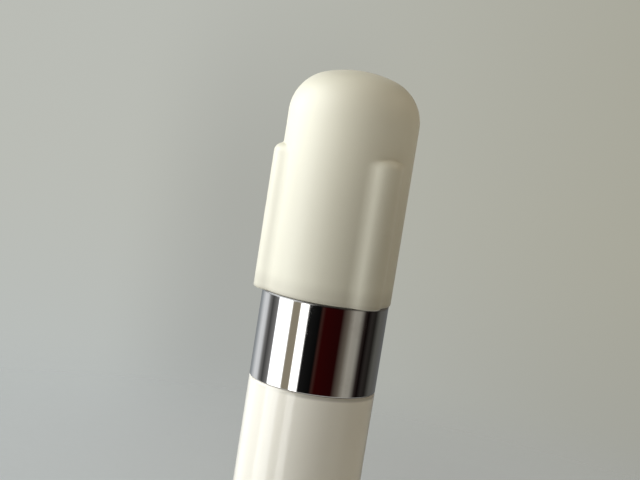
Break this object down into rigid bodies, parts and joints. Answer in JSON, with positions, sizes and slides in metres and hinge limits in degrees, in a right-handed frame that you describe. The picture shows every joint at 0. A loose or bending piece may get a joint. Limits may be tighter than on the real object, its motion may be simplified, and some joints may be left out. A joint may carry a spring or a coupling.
{
  "type": "stylus cap",
  "caption": "Domed stylus cap with lengthwise grip ribs, held by a ring magnet on the steel band of a stylus end, over the charging plug that it covers.",
  "frame": {"origin": "on the axis, at the open lower end of the barrel, which the part stands on", "axes": "+Z along the stylus's axis towards the cap's crown; +X across the wide side of the plug"},
  "size_m": [0.0096, 0.0092, 0.036],
  "materials": {
    "shell_plastic": "off-white satin moulding",
    "liner_plastic": "white moulding",
    "plated_magnet": "nickel plated",
    "barrel_plastic": "glossy white moulding",
    "polished_steel": "mirror polished steel",
    "core_plastic": "grey glass-filled moulding",
    "plug_steel": "satin steel",
    "insert_plastic": "dark moulding",
    "gold_contact": "gold plated",
    "soft_boot": "soft dark elastomer",
    "board_laminate": "green circuit board"
  },
  "bodies": {
    "stylus_end": {"barrel": "barrel_plastic", "band": "polished_steel", "end_plate": "barrel_plastic", "tail_core": "core_plastic", "plug_frame": "plug_steel", "plug_insert": "insert_plastic", "plug_contacts": "gold_contact", "plug_boot": "soft_boot", "plug_board": "board_laminate"},
    "cap": {"cap_shell": "shell_plastic", "cap_liner": "liner_plastic", "magnet_ring": "plated_magnet", "mouth_ring": "liner_plastic"}
  },
  "joints": [
    {"name": "cap_pull", "type": "slide", "parent": "stylus_end", "child": "cap", "axis": [0, 0, 1], "range_m": [0, 0.02]}
  ]
}
